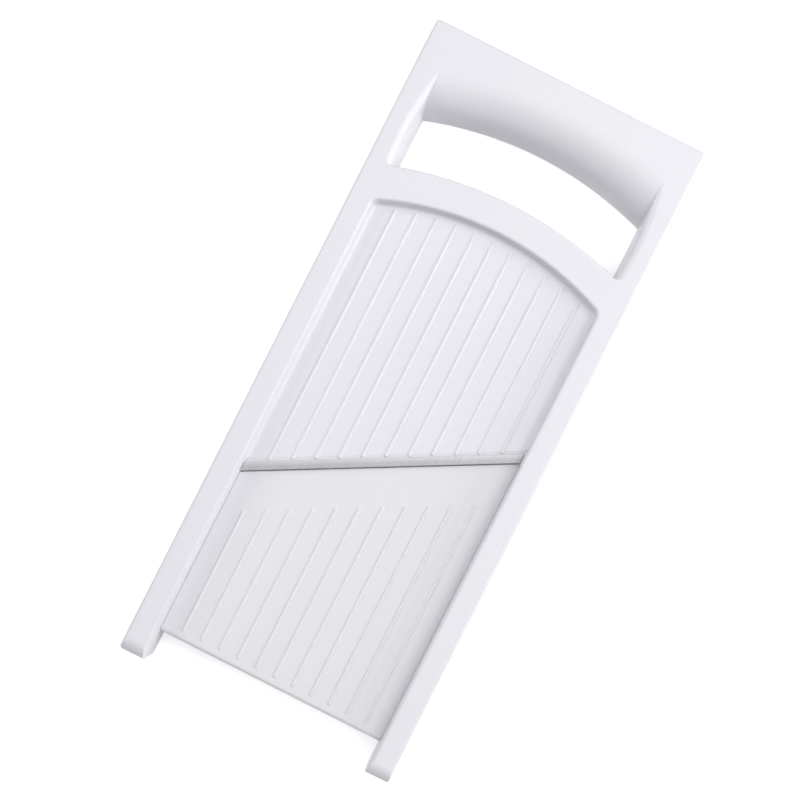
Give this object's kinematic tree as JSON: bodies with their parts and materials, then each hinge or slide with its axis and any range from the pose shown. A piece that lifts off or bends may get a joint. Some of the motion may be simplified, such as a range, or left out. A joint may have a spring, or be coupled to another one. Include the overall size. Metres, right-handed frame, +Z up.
{
  "type": "mandoline slicer",
  "caption": "Flat white slicer: frame with a hand grip and landing deck, diagonal steel blade, and a hinged ridged feed plate raised and lowered by a thumb dial underneath.",
  "frame": {"origin": "on the surface that the slicer rests on, below the middle of its outline", "axes": "+X across the slicer to its right-hand rail, +Y towards the hand grip, +Z up out of the decks"},
  "size_m": [0.146, 0.343, 0.028],
  "materials": {
    "frame_plastic": "satin white ABS moulding",
    "plate_plastic": "satin white ABS moulding",
    "blade_steel": "ground stainless steel, grind lines across the bevel",
    "clamp_plastic": "matt white moulding",
    "fastener_steel": "bright stainless steel",
    "spring_steel": "dark spring steel",
    "brass_parts": "turned brass",
    "washer_nylon": "natural nylon",
    "dial_plastic": "satin white moulding",
    "cap_plastic": "grey plastic",
    "pad_rubber": "matt grey rubber"
  },
  "bodies": {
    "frame": {"frame": "frame_plastic", "blade": "blade_steel", "blade_clamp": "clamp_plastic", "blade_screws": "fastener_steel", "pivot_pin_left": "fastener_steel", "pivot_pin_right": "fastener_steel", "adjuster_bridge": "clamp_plastic", "bridge_screws": "fastener_steel", "adjuster_bush": "brass_parts", "thrust_washer": "washer_nylon", "foot_pad_left": "pad_rubber", "foot_pad_right": "pad_rubber", "heel_pad_left": "pad_rubber", "heel_pad_right": "pad_rubber"},
    "feed_plate": {"feed_plate": "plate_plastic"},
    "dial": {"adjuster_dial": "dial_plastic", "dial_cap": "cap_plastic", "adjuster_screw": "fastener_steel", "retaining_clip": "spring_steel"},
    "lift_nut": {"lift_nut": "brass_parts"}
  },
  "joints": [
    {"name": "plate_tilt", "type": "hinge", "parent": "frame", "child": "feed_plate", "pos_m": [0, -0.1472, 0.0121], "axis": [1, 0, 0], "range_deg": [-1.18, 0.8]},
    {"name": "dial_turn", "type": "hinge", "parent": "frame", "child": "dial", "pos_m": [0, -0.05586, 0.0025], "axis": [0, 0, 1], "range_deg": [-462, 680]},
    {"name": "nut_rock", "type": "hinge", "parent": "feed_plate", "child": "lift_nut", "pos_m": [0, -0.05586, 0.0121], "axis": [1, 0, 0], "range_deg": [-0.9, 1.3]}
  ],
  "couplings": [
    {"joint": "dial_turn", "follows": "plate_tilt", "ratio": -573.89},
    {"joint": "nut_rock", "follows": "plate_tilt", "ratio": -1}
  ]
}
